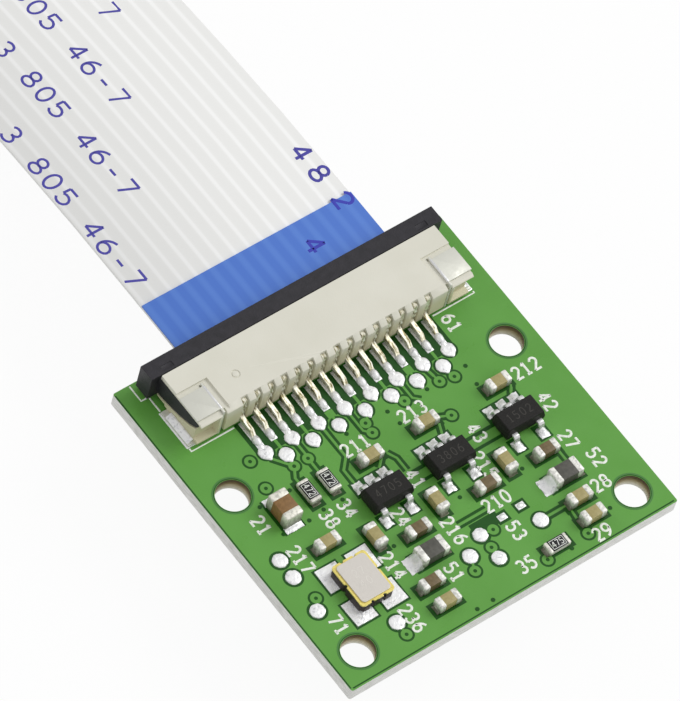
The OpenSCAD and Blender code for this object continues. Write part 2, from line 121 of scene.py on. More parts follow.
class Finish:
    """A material whose nodes are added by small calls, all on object coordinates in metres."""

    def __init__(self, name, color, rough, metal=0.0, spec=0.35):
        self.material = bpy.data.materials.new(name)
        self.material.use_nodes = True
        self.nodes = self.material.node_tree.nodes
        self.links = self.material.node_tree.links
        self.shader = self.nodes["Principled BSDF"]
        self.shader.inputs["Base Color"].default_value = color
        self.shader.inputs["Roughness"].default_value = rough
        self.shader.inputs["Metallic"].default_value = metal
        self.shader.inputs["Specular IOR Level"].default_value = spec
        self.place = self.nodes.new("ShaderNodeTexCoord").outputs["Object"]
        self.height = None

    def stretched(self, x, y, z):
        mapping = self.nodes.new("ShaderNodeMapping")
        mapping.inputs["Scale"].default_value = (x, y, z)
        self.links.new(self.place, mapping.inputs["Vector"])
        return mapping.outputs["Vector"]

    def noise(self, size_mm, detail=3, along=None, distortion=0.0):
        """Soft noise whose blotches are about size_mm across."""
        node = self.nodes.new("ShaderNodeTexNoise")
        node.inputs["Scale"].default_value = 1 / (size_mm * MM)
        node.inputs["Detail"].default_value = detail
        node.inputs["Distortion"].default_value = distortion
        self.links.new(along or self.place, node.inputs["Vector"])
        return node.outputs["Fac"]

    def bands(self):
        """Soft lengthwise bands, one for each flat wire of the ribbon."""
        node = self.nodes.new("ShaderNodeTexWave")
        node.wave_type = "BANDS"
        node.bands_direction = "X"
        node.inputs["Scale"].default_value = 1 / MM * math.pi / 10
        node.inputs["Phase Offset"].default_value = math.pi / 2
        self.links.new(self.place, node.inputs["Vector"])
        return node.outputs["Fac"]

    def ramp(self, value, *stops):
        """Colours from (position, colour) stops along a value."""
        node = self.nodes.new("ShaderNodeValToRGB")
        points = node.color_ramp.elements
        while len(points) < len(stops):
            points.new(0.5)
        for point, (position, color) in zip(points, stops):
            point.position = position
            point.color = color
        self.links.new(value, node.inputs["Fac"])
        return node.outputs["Color"]

    def spread(self, value, low, high, start=0.3, end=0.7):
        """The value, mapped from start..end to low..high."""
        node = self.nodes.new("ShaderNodeMapRange")
        node.inputs["From Min"].default_value = start
        node.inputs["From Max"].default_value = end
        node.inputs["To Min"].default_value = low
        node.inputs["To Max"].default_value = high
        self.links.new(value, node.inputs["Value"])
        return node.outputs["Result"]

    def height_of(self, ripple, share):
        """Height in metres, made uneven by a ripple."""
        parts = self.nodes.new("ShaderNodeSeparateXYZ")
        self.links.new(self.place, parts.inputs[0])
        node = self.nodes.new("ShaderNodeMath")
        node.operation = "MULTIPLY_ADD"
        node.inputs[1].default_value = share * MM
        self.links.new(ripple, node.inputs[0])
        self.links.new(parts.outputs["Z"], node.inputs[2])
        return node.outputs[0]

    def mixed(self, value, color_a, color_b):
        node = self.nodes.new("ShaderNodeMix")
        node.data_type = "RGBA"
        self.links.new(value, node.inputs["Factor"])
        for socket, color in zip((node.inputs[6], node.inputs[7]), (color_a, color_b)):
            if isinstance(color, tuple):
                socket.default_value = color
            else:
                self.links.new(color, socket)
        return node.outputs[2]

    def color(self, socket):
        self.links.new(socket, self.shader.inputs["Base Color"])
        return self

    def roughness(self, socket):
        self.links.new(socket, self.shader.inputs["Roughness"])
        return self

    def bump(self, socket, depth_mm, strength=1.0):
        node = self.nodes.new("ShaderNodeBump")
        node.inputs["Distance"].default_value = depth_mm * MM
        node.inputs["Strength"].default_value = strength
        self.links.new(socket, node.inputs["Height"])
        if self.height:
            self.links.new(self.height, node.inputs["Normal"])
        self.height = node.outputs["Normal"]
        self.links.new(self.height, self.shader.inputs["Normal"])
        return self


def mask_finish(name, light, deep, rough=0.32):
    """Solder mask: glossy lacquer with a faint cloudiness and orange peel."""
    made = Finish(name, light, rough, spec=0.3)
    made.color(made.ramp(made.noise(5.0, 2), (0.3, deep), (0.7, light)))
    made.roughness(made.spread(made.noise(1.2), rough - 0.06, rough + 0.08))
    return made.bump(made.noise(0.35, 2), 0.012, 0.25).material


MASK = mask_finish("solder_mask", tint(101, 164, 73), tint(94, 156, 66))
MASK_GAP = mask_finish("mask_over_bare_board", tint(26, 84, 18), tint(20, 74, 12))
MASK_RIM = mask_finish("mask_edge", tint(80, 134, 68), tint(72, 124, 60))


def laminate_finish():
    made = Finish("glass_fibre_edge", tint(205, 205, 200), 0.75)
    layers = made.noise(0.09, 3, made.stretched(0.15, 0.15, 1))
    made.color(made.ramp(layers, (0.3, tint(205, 205, 200)), (0.6, tint(232, 232, 229))))
    return made.bump(layers, 0.03, 0.5).material


def bored_finish():
    made = Finish("drilled_laminate", tint(112, 98, 62), 0.7)
    rings = made.noise(0.12, 3, made.stretched(0.3, 0.3, 1))
    # Painted light and shade: the bore's wall is near white at the board's underside, where light comes
    # through the hole, and darkens to brown toward the top face.
    glow = made.spread(made.height_of(rings, 0.25), 0.0, 1.0, UNDER * MM, TOP * MM)
    made.color(made.ramp(
        glow, (0.1, tint(240, 240, 232)), (0.5, tint(196, 186, 156)), (0.75, tint(128, 112, 70)),
        (0.95, tint(82, 70, 38)),
    ))
    return made.bump(rings, 0.03, 0.6).material


def ink_finish():
    made = Finish("white_ink", tint(240, 244, 236), 0.6)
    made.color(made.ramp(made.noise(0.25), (0.3, tint(222, 232, 214)), (0.55, tint(247, 249, 243))))
    return made.bump(made.noise(0.08), 0.008, 0.4).material


def solder_finish():
    made = Finish("solder", tint(238, 238, 240), 0.4, metal=0.45, spec=0.5)
    grain = made.noise(0.35, 4, distortion=1.2)
    made.color(made.ramp(
        grain, (0.3, tint(206, 206, 208)), (0.42, tint(242, 242, 244)), (0.6, tint(250, 250, 250)),
    ))
    made.roughness(made.spread(made.noise(0.3), 0.3, 0.55))
    return made.bump(made.noise(0.3, 4, distortion=0.6), 0.05, 0.7).material


def tin_finish(name, color, rough, depth=0.02, metal=0.8):
    """Tinned metal: fine drawn lines and small dull patches."""
    made = Finish(name, color, rough, metal=metal)
    made.roughness(made.spread(made.noise(0.4, 4), rough - 0.08, rough + 0.14))
    return made.bump(made.noise(0.14, 4), depth, 0.5).material


def dulled(color, share=0.66):
    return tuple(c * share for c in color[:3]) + (1,)


def shaded_finish(name, top, foot, height, rough=0.42, metal=0.3):
    """Metal or glaze on a chip's end: bright on top, with painted shade and a painted dark reflection making
    it dull and dark where it goes down to the board.
    """
    made = Finish(name, top, rough, metal=metal, spec=0.5)
    foot_z, top_z = (TOP + 0.12) * MM, (TOP + height) * MM
    # Painted shade: the foot colour low down, the top colour higher up.
    rise = made.spread(made.height_of(made.noise(0.3, 3), 0.16), 0.0, 1.0, foot_z, top_z)
    patch = made.ramp(made.noise(0.2, 4, made.stretched(1, 1, 0.5)), (0.4, dulled(top)), (0.56, top))
    made.color(made.mixed(rise, foot, patch))
    made.roughness(made.spread(made.noise(0.4, 4), rough - 0.08, rough + 0.14))
    return made.bump(made.noise(0.14, 4), 0.04, 0.5).material


def contact_finish():
    """Tinned bronze: pale, with lengthwise streaks of painted reflection, from dark olive to near white."""
    made = Finish("contact_strip", tint(228, 224, 200), 0.35, metal=0.55, spec=0.5)
    streaks = made.noise(0.12, 3, made.stretched(1, 0.3, 0.3))
    made.color(made.ramp(
        streaks, (0.36, tint(134, 124, 84)), (0.5, tint(226, 221, 196)), (0.64, tint(248, 246, 234)),
    ))
    made.roughness(made.spread(streaks, 0.3, 0.45))
    return made.bump(streaks, 0.012, 0.4).material


def housing_finish():
    made = Finish("ivory_moulding", tint(222, 220, 206), 0.5)
    cloud = made.ramp(made.noise(2.5, 4), (0.3, tint(219, 217, 203)), (0.7, tint(224, 222, 209)))
    # Painted shade with a painted yellowish reflection of the green board: the housing is darker and
    # yellower low down.
    rise = made.spread(made.height_of(made.noise(0.3, 2), 0.1), 0.0, 1.0, (TOP + 1.4) * MM, (TOP + 2.4) * MM)
    made.color(made.mixed(rise, tint(208, 203, 172), cloud))
    return made.bump(made.noise(0.08, 4), 0.01, 0.5).material


def slider_finish():
    made = Finish("black_moulding", tint(48, 46, 52), 0.5)
    made.color(made.ramp(made.noise(0.5, 4), (0.3, tint(34, 33, 38)), (0.7, tint(46, 44, 50))))
    return made.bump(made.noise(0.07, 4), 0.02, 0.7).material


# Painted shade: the dark tone given to the narrow strip where a chip meets the board.
CHIP_FOOT_SHADE = (0.01, 0.012, 0.006, 1)


def ceramic_finish(name, light, deep, rough=0.42):
    """Fired ceramic: slightly cloudy, with painted shade darkening it along its foot."""
    made = Finish(name, light, rough)
    cloud = made.ramp(made.noise(0.22, 4), (0.3, deep), (0.68, light))
    # Painted shade: toward the board's top face the colour is mixed with the dark foot tone.
    rise = made.spread(made.height_of(made.noise(0.2, 2), 0.1), 0.55, 1.0, TOP * MM, (TOP + 0.4) * MM)
    made.color(made.mixed(rise, CHIP_FOOT_SHADE, cloud))
    made.roughness(made.spread(made.noise(0.15), rough - 0.08, rough + 0.12))
    return made.bump(made.noise(0.06, 4), 0.01, 0.6).material


def moulding_finish():
    made = Finish("epoxy_moulding", tint(36, 35, 34), 0.52, spec=0.2)
    made.color(made.ramp(made.noise(0.1, 5), (0.3, tint(26, 25, 24)), (0.7, tint(38, 37, 35))))
    return made.bump(made.noise(0.06, 4), 0.02, 0.8).material


def faint_mark_finish(name, color):
    made = Finish(name, color, 0.6)
    return made.bump(made.noise(0.05), 0.01, 0.5).material


def ribbon_finish():
    """White film over flat wires, which show as faint lengthwise bands."""
    made = Finish("ribbon_film", tint(230, 230, 228), 0.45)
    bands = made.bands()
    made.color(made.ramp(
        bands, (0.4, tint(236, 236, 234)), (0.75, tint(238, 238, 236)), (0.97, tint(247, 247, 246)),
    ))
    return made.bump(bands, 0.02, 0.25).material


def stiffener_finish():
    made = Finish("blue_film", tint(82, 124, 208), 0.4)
    bands = made.bands()
    made.color(made.ramp(bands, (0.3, tint(80, 122, 208)), (0.95, tint(90, 132, 214))))
    return made.bump(bands, 0.012, 0.2).material


LAMINATE = laminate_finish()
BORED = bored_finish()
INK = ink_finish()
SOLDER = solder_finish()
# Chip ends and fillets: the second colour of each is painted shade and painted dark reflection toward the
# board.
CAP_METAL = shaded_finish("tinned_cap", tint(246, 245, 238), tint(96, 96, 72), 0.72)
CAP_TALL = shaded_finish("tinned_cap_tall", tint(240, 238, 226), tint(98, 104, 78), 1.2)
CAP_FLAT = shaded_finish("tinned_cap_flat", tint(240, 238, 228), tint(120, 112, 84), 0.42)
FILLET = shaded_finish("fillet_solder", tint(214, 212, 200), tint(84, 88, 66), 0.5, 0.35, 0.45)
LEAD_METAL = tin_finish("tinned_lead", tint(226, 226, 226), 0.3, 0.02, 0.6)
CLIP_METAL = tin_finish("clip_strip", tint(216, 216, 206), 0.45, 0.015, 0.3)
LID_METAL = tin_finish("lid_plating", tint(212, 207, 200), 0.45, 0.01, 0.5)
GOLD = tin_finish("gold_seal", tint(240, 222, 128), 0.3, 0.02, 0.7)
WIRE_METAL = tin_finish("flat_wire", tint(222, 216, 198), 0.3)
CONTACT = contact_finish()
IVORY = housing_finish()
BLACK_SLIDER = slider_finish()
TAN = ceramic_finish("tan_ceramic", tint(174, 163, 112), tint(158, 147, 98))
BROWN = ceramic_finish("brown_ceramic", tint(120, 104, 74), tint(102, 88, 60))
BULK_BROWN = ceramic_finish("bulk_ceramic", tint(142, 108, 66), tint(124, 92, 54))
FERRITE = ceramic_finish("ferrite", tint(92, 91, 84), tint(78, 77, 72), 0.5)
GLAZE = ceramic_finish("black_glaze", tint(34, 33, 36), tint(24, 24, 27), 0.3)
ALUMINA = ceramic_finish("white_alumina", tint(232, 230, 222), tint(220, 217, 208), 0.45)
DARK_CERAMIC = ceramic_finish("dark_ceramic", tint(62, 50, 50), tint(44, 36, 38), 0.48)
EPOXY = moulding_finish()
FAINT_MARK = faint_mark_finish("laser_mark", tint(60, 58, 54))
LID_MARK = faint_mark_finish("lid_mark", tint(222, 218, 210))
PRINT_BLUE = faint_mark_finish("print_blue", tint(76, 72, 164))
PRINT_ON_BLUE = faint_mark_finish("print_on_blue", tint(60, 64, 180))
RIBBON_FILM = ribbon_finish()
BLUE_FILM = stiffener_finish()


# ---------------------------------------------------------------- parts, in millimetres


def ease(bm, edges, offset, segments=2, affect="EDGES", miter="SHARP"):
    """Rounds edges, or the corners of a flat outline."""
    bmesh.ops.bevel(
        bm, geom=edges, offset=offset, offset_type="OFFSET", segments=segments, profile=0.5, affect=affect,
        clamp_overlap=True, material=-1, miter_outer=miter,
    )


def block(low, high, rounding=0.0, segments=2):
    """A box with its edges rounded."""
    low, high = Vector(low), Vector(high)
    bm = bmesh.new()
    size = Matrix.Diagonal((*(high - low), 1))
    bmesh.ops.create_cube(bm, size=1, matrix=Matrix.Translation((low + high) / 2) @ size)
    if rounding:
        ease(bm, bm.edges[:], rounding, segments)
    return bm


def drum(radius, low, high, at, top_radius=None, sides=24, rounding=0.0):
    """An upright cylinder or cone between two heights."""
    bm = bmesh.new()
    middle = Matrix.Translation((at[0], at[1], (low + high) / 2))
    top = radius if top_radius is None else top_radius
    bmesh.ops.create_cone(
        bm, cap_ends=True, segments=sides, radius1=radius, radius2=top, depth=high - low, matrix=middle,
    )
    if rounding:
        rim = [e for e in bm.edges if all(v.co.z > high - 1e-4 for v in e.verts)]
        ease(bm, rim, rounding)
    return bm


def dome(radius, height, at, sides=20, stretch=1.0, fullness=1.0):
    """A low round mound standing at a place, with a closed flat foot; a small fullness gives a flat top."""
    bm = bmesh.new()
    bmesh.ops.create_uvsphere(bm, u_segments=sides, v_segments=10, radius=1)
    ball = bm.verts[:] + bm.edges[:] + bm.faces[:]
    bmesh.ops.bisect_plane(bm, geom=ball, plane_co=(0, 0, 0), plane_no=(0, 0, -1), clear_outer=True)
    bmesh.ops.holes_fill(bm, edges=bm.edges[:], sides=0)
    for vert in bm.verts:
        vert.co.z = max(0.0, vert.co.z) ** fullness
    bmesh.ops.scale(bm, vec=(radius, radius * stretch, height), verts=bm.verts)
    bmesh.ops.translate(bm, vec=at, verts=bm.verts)
    return bm


# A mound of solder is nearly flat. Its tips reach out by a share of its radius, within an angle in degrees.
FLAT = 0.42
TIP_REACH = 0.26
TIP_ANGLE = 17
RAGGED_STEP = 4.5


def tipped_disc(radius, height, at, tips, sides=48):
    """A flat mound of solder with a small tip toward each of the given ends of Y."""
    bm = dome(radius, height, (0, 0, 0), sides, 1.0, FLAT)
    for vert in bm.verts:
        for tip in tips:
            off_axis = math.degrees(math.atan2(abs(vert.co.x), tip * vert.co.y))
            reach = vert.co.xy.length / radius
            vert.co.y += tip * radius * TIP_REACH * reach ** 3 * math.exp(-((off_axis / TIP_ANGLE) ** 2))
    bmesh.ops.translate(bm, vec=at, verts=bm.verts)
    return bm


def ragged(bm, size, seed=0.0):
    """Moves the vertices of a solder mound by a soft noise, so that its outline isn't regular."""
    for vert in bm.verts:
        push = noise.noise_vector(vert.co * RAGGED_STEP + Vector((seed, 0, 0)))
        vert.co.x += push.x * size
        vert.co.y += push.y * size
    return bm


def copy_of(node, rounding=0.0, segments=2, sharp=40):
    """A solid's own mesh in millimetres, merged, with its flat faces joined and its edges rounded."""
    bm = bmesh.new()
    bm.from_mesh(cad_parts[node].data)
    bmesh.ops.scale(bm, vec=(1 / MM,) * 3, verts=bm.verts)
    bmesh.ops.remove_doubles(bm, verts=bm.verts, dist=0.0005)
    bmesh.ops.dissolve_limit(bm, angle_limit=math.radians(1), verts=bm.verts, edges=bm.edges)
    if rounding:
        edges = [e for e in bm.edges if e.calc_face_angle(0) > math.radians(sharp)]
        ease(bm, edges, rounding, segments, miter="ARC")
    return bm


def strokes(lines, width, height, place=None):
    """Raised lines: each a list of points whose x and y are read, swept with a flat oval section and made a
    mesh.
    """
    curve = bpy.data.curves.new("line", "CURVE")
    curve.dimensions = "3D"
    curve.bevel_depth = width / 2
    curve.bevel_resolution = 1
    curve.use_fill_caps = True
    for points in lines:
        spline = curve.splines.new("POLY")
        spline.points.add(len(points) - 1)
        for point, co in zip(spline.points, points):
            point.co = (co[0], co[1], 0, 1)
    holder = bpy.data.objects.new("line", curve)
    mesh = bpy.data.meshes.new_from_object(holder)
    bm = bmesh.new()
    bm.from_mesh(mesh)
    bmesh.ops.scale(bm, vec=(1, 1, height / (width / 2)), verts=bm.verts)
    if place is not None:
        bmesh.ops.transform(bm, matrix=place, verts=bm.verts)
    bpy.data.objects.remove(holder)
    bpy.data.curves.remove(curve)
    bpy.data.meshes.remove(mesh)
    return bm


class Piece:
    """A finished piece: parts in millimetres, each with its own material."""

    def __init__(self, name, body=MODULE):
        self.name = name
        self.body = body
        self.bm = bmesh.new()
        self.materials = []

    def add(self, part, material):
        if material not in self.materials:
            self.materials.append(material)
        mesh = bpy.data.meshes.new("part")
        index = self.materials.index(material)
        for face in part.faces:
            face.material_index = index
        part.to_mesh(mesh)
        part.free()
        self.bm.from_mesh(mesh)
        bpy.data.meshes.remove(mesh)
        return self

    def done(self, slot, *replaced, sharp=32, weighted=False):
        """Brings the piece to metres, shades it and puts it on its body."""
        bmesh.ops.scale(self.bm, vec=(MM, MM, MM), verts=self.bm.verts)
        mesh = bpy.data.meshes.new(self.name)
        self.bm.to_mesh(mesh)
        self.bm.free()
        for material in self.materials:
            mesh.materials.append(material)
        mesh.shade_smooth()
        mesh.set_sharp_from_angle(angle=math.radians(sharp))
        obj = bpy.data.objects.new(self.name, mesh)
        bpy.context.scene.collection.objects.link(obj)
        if weighted:
            modifier = obj.modifiers.new("even_shading", "WEIGHTED_NORMAL")
            modifier.keep_sharp = True
        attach(obj, self.body)
        if replaced:
            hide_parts(*replaced)
        return obj


# ---------------------------------------------------------------- numbers


def bow(cx, cy, rx, ry, start, end, steps=10):
    """Points along part of an oval, angles in degrees."""
    turn = [math.radians(start + (end - start) * k / steps) for k in range(steps + 1)]
    return [(cx + rx * math.cos(a), cy + ry * math.sin(a)) for a in turn]


# Strokes of each digit in a box 0.6 wide and 1 high.
DIGITS = {
    "0": [bow(0.3, 0.5, 0.27, 0.5, 0, 360, 20)],
    "1": [[(0.1, 0.78), (0.32, 1.0)], [(0.32, 1.0), (0.32, 0.0)], [(0.12, 0.0), (0.52, 0.0)]],
    "2": [bow(0.3, 0.72, 0.26, 0.28, 170, -35), [(0.5, 0.56), (0.03, 0.0)], [(0.03, 0.0), (0.58, 0.0)]],
    "3": [bow(0.28, 0.75, 0.25, 0.25, 150, -90), bow(0.28, 0.26, 0.28, 0.26, 90, -150)],
    "4": [[(0.42, 0.0), (0.42, 1.0)], [(0.42, 1.0), (0.0, 0.3)], [(0.0, 0.3), (0.6, 0.3)]],
    "5": [[(0.52, 1.0), (0.08, 1.0)], [(0.08, 1.0), (0.06, 0.56)], bow(0.27, 0.31, 0.29, 0.31, 130, -150)],
    "6": [bow(0.3, 0.3, 0.27, 0.3, 0, 360, 18), bow(0.62, 0.32, 0.59, 0.68, 178, 105)],
    "7": [[(0.03, 1.0), (0.57, 1.0)], [(0.57, 1.0), (0.2, 0.0)]],
    "8": [bow(0.3, 0.75, 0.22, 0.25, 0, 360, 16), bow(0.3, 0.26, 0.28, 0.26, 0, 360, 16)],
    "9": [bow(0.3, 0.7, 0.27, 0.3, 0, 360, 18), bow(-0.02, 0.68, 0.59, 0.68, -2, -75)],
    "-": [[(0.12, 0.45), (0.48, 0.45)]],
}


def number(text, height, step, width, thickness, place, across=1.0):
    """A row of digits as strokes; step is the advance as a share of the height."""
    lines = []
    for k, digit in enumerate(text):
        if digit in DIGITS:
            start = k * step * height
            for stroke in DIGITS[digit]:
                lines.append([(start + x * height * across, y * height) for x, y in stroke])
    return strokes(lines, width, thickness, place)


# ---------------------------------------------------------------- ribbon


def route_height(y):
    """Height of the ribbon's middle at y."""
    for (y0, z0), (y1, z1) in zip(ROUTE, ROUTE[1:]):
        if y <= y1:
            return z0 + (z1 - z0) * (y - y0) / (y1 - y0)
    return ROUTE[-1][1]


def sweep_ribbon(route, low, high, half_w):
    """A flat band with eased edges: its end outline, drawn along the route and closed at both ends."""
    bm = bmesh.new()
    edge = (high - low) / 5
    outline = [
        (-half_w, low + edge), (-half_w + edge, low), (half_w - edge, low), (half_w, low + edge),
        (half_w, high - edge), (half_w - edge, high), (-half_w + edge, high), (-half_w, high - edge),
    ]
    ring = [bm.verts.new((x, route[0][0], route[0][1] + z)) for x, z in outline]
    front = [bm.edges.new(pair) for pair in zip(ring, ring[1:] + ring[:1])]
    bmesh.ops.contextual_create(bm, geom=front)
    for (y0, z0), (y1, z1) in zip(route, route[1:]):
        grown = bmesh.ops.extrude_edge_only(bm, edges=front)["geom"]
        moved = [g for g in grown if isinstance(g, bmesh.types.BMVert)]
        front = [g for g in grown if isinstance(g, bmesh.types.BMEdge) and len(g.link_faces) == 1]
        bmesh.ops.translate(bm, vec=(0, y1 - y0, z1 - z0), verts=moved)
    bmesh.ops.contextual_create(bm, geom=front)
    bmesh.ops.recalc_face_normals(bm, faces=bm.faces)
    return bm


def make_ribbon():
    piece = Piece("ribbon")
    piece.add(sweep_ribbon(ROUTE, -RIBBON_T / 2, RIBBON_T / 2, RIBBON_W / 2), RIBBON_FILM)
    ribbon = piece.done("ribbon_film", "ribbon_cable", sharp=60)
    prints = make_ribbon_print()
    stiffeners = [make_stiffener(end) for end in ("near", "far")]


def make_stiffener(end):
    low, high = box_mm(f"ribbon_stiffener_{end}")
    piece = Piece(f"stiffener_{end}")
    piece.add(block(low, high, 0.03), BLUE_FILM)
    return piece.done("stiffener_film", f"ribbon_stiffener_{end}")


# Print on the ribbon: x on the board of each row's foot line, y of its first glyph's start.
RIBBON_TEXT = "3 805 46-7"
RIBBON_ROWS = [(4.7, 42.4), (8.3, 48.0), (11.95, 53.8), (15.5, 59.6)]
EDGE_ROW = [("4", 19.1, 31.9), ("8", 19.1, 30.1)]
EDGE_MARK = ("2", 19.1, 27.7)
STIFFENER_MARK = ("4", 15.6, 26.0)
PRINT_REPEAT = 48.0
PRINT_END = 158.0
PRINT_H = 1.25
PRINT_STEP = 1.12


def ribbon_number(text, x, y, lift, width=0.18):
    """Digits that read toward the connector, bent to the ribbon's route."""
    place = Matrix.Translation(on_board(x, y, -TOP)) @ Matrix.Rotation(math.radians(-90), 4, "Z")
    part = number(text, PRINT_H, PRINT_STEP, width, 0.012, place, 1.25)
    for vert in part.verts:
        vert.co.z += route_height(vert.co.y) + lift
    return part


def make_ribbon_print():
    """Plain numbers that run along the ribbon, bent to its route."""
    piece = Piece("ribbon_print")
    for k in range(3):
        for x, y in RIBBON_ROWS:
            start = y + PRINT_REPEAT * k
            if start < PRINT_END:
                piece.add(ribbon_number(RIBBON_TEXT, x, start, RIBBON_T / 2), PRINT_BLUE)
    for text, x, y in EDGE_ROW:
        piece.add(ribbon_number(text, x, y, RIBBON_T / 2, 0.22), PRINT_BLUE)
    for text, x, y in (EDGE_MARK, STIFFENER_MARK):
        piece.add(ribbon_number(text, x, y, RIBBON_T / 2 + STIFFENER_T, 0.22), PRINT_ON_BLUE)
    return piece.done("ribbon_film")


make_ribbon()


# ---------------------------------------------------------------- board

HOLE_R = 1.1
HOLE_RING_R = 1.3
HOLE_SPAN = 12.5
HOLE_EDGE = 2.0
HOLES = [(x, y) for x in (HOLE_EDGE, 25 - HOLE_EDGE) for y in (HOLE_EDGE, HOLE_EDGE + HOLE_SPAN)]
CORNER_R = 0.15


def board_outline(bm):
    """The board's round-cornered outline and its four holes, as loops of edges."""
    size = BOARD_HIGH - BOARD_LOW
    middle = (BOARD_LOW + BOARD_HIGH) / 2
    stretch = Matrix.Diagonal((size.x, size.y, 1, 1))
    bmesh.ops.create_grid(bm, x_segments=1, y_segments=1, size=0.5, matrix=stretch)
    ease(bm, bm.verts[:], CORNER_R, 4, affect="VERTICES")
    bmesh.ops.delete(bm, geom=bm.faces[:], context="FACES_ONLY")
    bmesh.ops.translate(bm, vec=(middle.x, middle.y, UNDER), verts=bm.verts)
    for x, y in HOLES:
        place = Matrix.Translation(on_board(x, y, UNDER - TOP))
        bmesh.ops.create_circle(bm, cap_ends=False, segments=48, radius=HOLE_R, matrix=place)


def is_level(edge):
    return abs(edge.verts[0].co.z - edge.verts[1].co.z) < 0.01


def make_board():
    bm = bmesh.new()
    board_outline(bm)
    bmesh.ops.triangle_fill(bm, use_beauty=True, edges=bm.edges[:], normal=(0, 0, 1))
    grown = bmesh.ops.extrude_face_region(bm, geom=bm.faces[:], use_keep_orig=True)
    lifted = [g for g in grown["geom"] if isinstance(g, bmesh.types.BMVert)]
    bmesh.ops.translate(bm, vec=(0, 0, TOP - UNDER), verts=lifted)
    bmesh.ops.recalc_face_normals(bm, faces=bm.faces)
    rims = [e for e in bm.edges if e.calc_face_angle(0) > 1 and is_level(e)]
    ease(bm, rims, 0.03)
    piece = Piece("board")
    piece.materials = [MASK, LAMINATE, BORED]
    for face in bm.faces:
        middle = face.calc_center_median()
        in_hole = any((middle - on_board(x, y, middle.z - TOP)).length < HOLE_R + 0.04 for x, y in HOLES)
        side = abs(face.normal.z) < 0.8
        face.material_index = (2 if in_hole else 1) if side else 0
    piece.bm.free()
    piece.bm = bm
    return piece.done("board_mask", "pcb", sharp=20)


make_board()


class Layer:
    """Flat fields and lines on a face of the board, each a hair higher than the one before."""

    def __init__(self, base, step=0.0008, cycle=8):
        self.base, self.step, self.cycle, self.count = base, step, cycle, 0

    def lift(self):
        self.count += 1
        return self.base + self.step * (self.count % self.cycle)


GAP_LAYER = Layer(0.002)
COPPER_LAYER = Layer(0.010)
DOT_LAYER = Layer(0.018)
SUNK = -0.05


def field(piece, layer, material, x0, y0, x1, y1):
    low, high = on_board(x0, y0, SUNK), on_board(x1, y1, layer.lift())
    piece.add(block(low, high), material)


def spot(piece, layer, material, x, y, r, sides=24):
    piece.add(drum(r, TOP + SUNK, TOP + layer.lift(), on_board(x, y), sides=sides), material)


def trace_line(piece, layer, material, points, width):
    place = Matrix.Translation(on_board(0, 0, 0))
    piece.add(strokes([points], width, layer.lift(), place), material)


# Copper tracks that cross the gaps round them: points on the board.
TRACKS = [
    [(9.5, 15.4), (9.5, 13.1), (8.8, 12.4), (8.8, 11.3)],
    [(6.4, 14.2), (5.95, 13.5), (5.95, 13.1)],
    [(7.45, 14.3), (7.45, 13.1)],
    [(5.5, 15.4), (6.4, 14.2)],
    [(7.5, 15.4), (7.5, 14.3)],
    [(11.5, 15.4), (11.5, 14.0), (11.9, 13.6)],
    [(15.5, 15.4), (15.5, 14.3), (15.9, 13.9)],
    [(17.5, 15.4), (17.65, 14.35)],
    [(18.5, 14.6), (18.65, 14.15)],
    [(12.5, 14.8), (11.95, 14.35)],
    [(14.5, 14.8), (14.95, 14.35)],
    [(10.75, 11.4), (11.4, 12.0)],
    [(11.8, 12.0), (12.1, 11.4), (12.1, 10.4)],
    [(15.5, 11.3), (15.8, 12.0)],
    [(16.0, 12.4), (16.8, 12.05)],
    [(20.85, 11.3), (21.3, 11.9)],
    [(12.4, 5.7), (14.6, 5.7)],
    [(17.2, 3.35), (19.0, 3.35)],
    [(19.0, 3.2), (18.9, 2.3)],
    [(20.9, 7.4), (20.9, 5.9)],
    [(1.55, 5.45), (2.0, 6.2)],
    [(5.15, 2.3), (5.15, 1.37)],
    [(11.7, 3.6), (11.35, 2.65)],
    [(13.15, 4.45), (14.05, 4.35)],
    [(13.15, 2.6), (13.2, 3.42)],
]
VIAS = [
    (2.0, 6.2), (5.15, 1.37), (11.35, 2.65), (14.05, 4.35), (13.2, 3.42), (4.3, 15.85), (6.4, 14.2),
    (7.45, 14.2), (11.95, 14.35), (11.9, 13.6), (14.95, 14.35), (17.65, 14.35), (18.65, 14.15),
    (16.8, 12.05), (4.0, 13.85), (15.6, 0.95), (18.85, 1.1),
]
DOTS = [
    (10.5, 14.35), (13.6, 14.3), (13.75, 13.25), (16.65, 14.3), (19.7, 14.4), (19.5, 13.0), (2.9, 13.0),
    (5.15, 13.0), (3.0, 10.75), (4.9, 10.7), (6.1, 10.85), (7.5, 10.8), (9.85, 0.5), (11.05, 0.5),
    (17.35, 0.8), (21.1, 1.8), (13.7, 7.2), (18.2, 6.8), (8.2, 6.6), (7.8, 6.65),
]
TEST_POINTS = [
    (1.7, 9.4), (1.7, 8.05), (1.55, 5.45), (5.15, 2.3), (11.7, 3.6), (13.15, 4.45), (13.15, 2.6),
    (16.95, 3.35),
]
# Bare strips beside wide tracks, as two corners.
BARE_STRIPS = [
    (12.9, 4.5, 14.9, 5.35), (12.3, 10.0, 13.4, 10.25), (12.3, 9.2, 13.4, 9.42), (16.3, 10.05, 18.7, 10.3),
    (16.3, 9.2, 18.7, 9.42),
]
LINK_PADS = [(15.05, 4.75), (16.5, 4.8)]
ROW_NEAR = 15.87
ROW_FAR = 15.1
FEET = (16.4, 17.25)
FIELD_Y = (15.75, 18.4)
BOARD_MID = 12.5
GAP_W = 0.14
TRACK_W = 0.21
TRACK_GAP_W = 0.58
LAND_GAP_R = 0.62
TEST_GAP_R = 0.66
VIA_GAP_R = 0.5
VIA_R = 0.36
BORE_R = 0.12
DOT_R = 0.14


def near_row(i):
    return i % 2 == 0


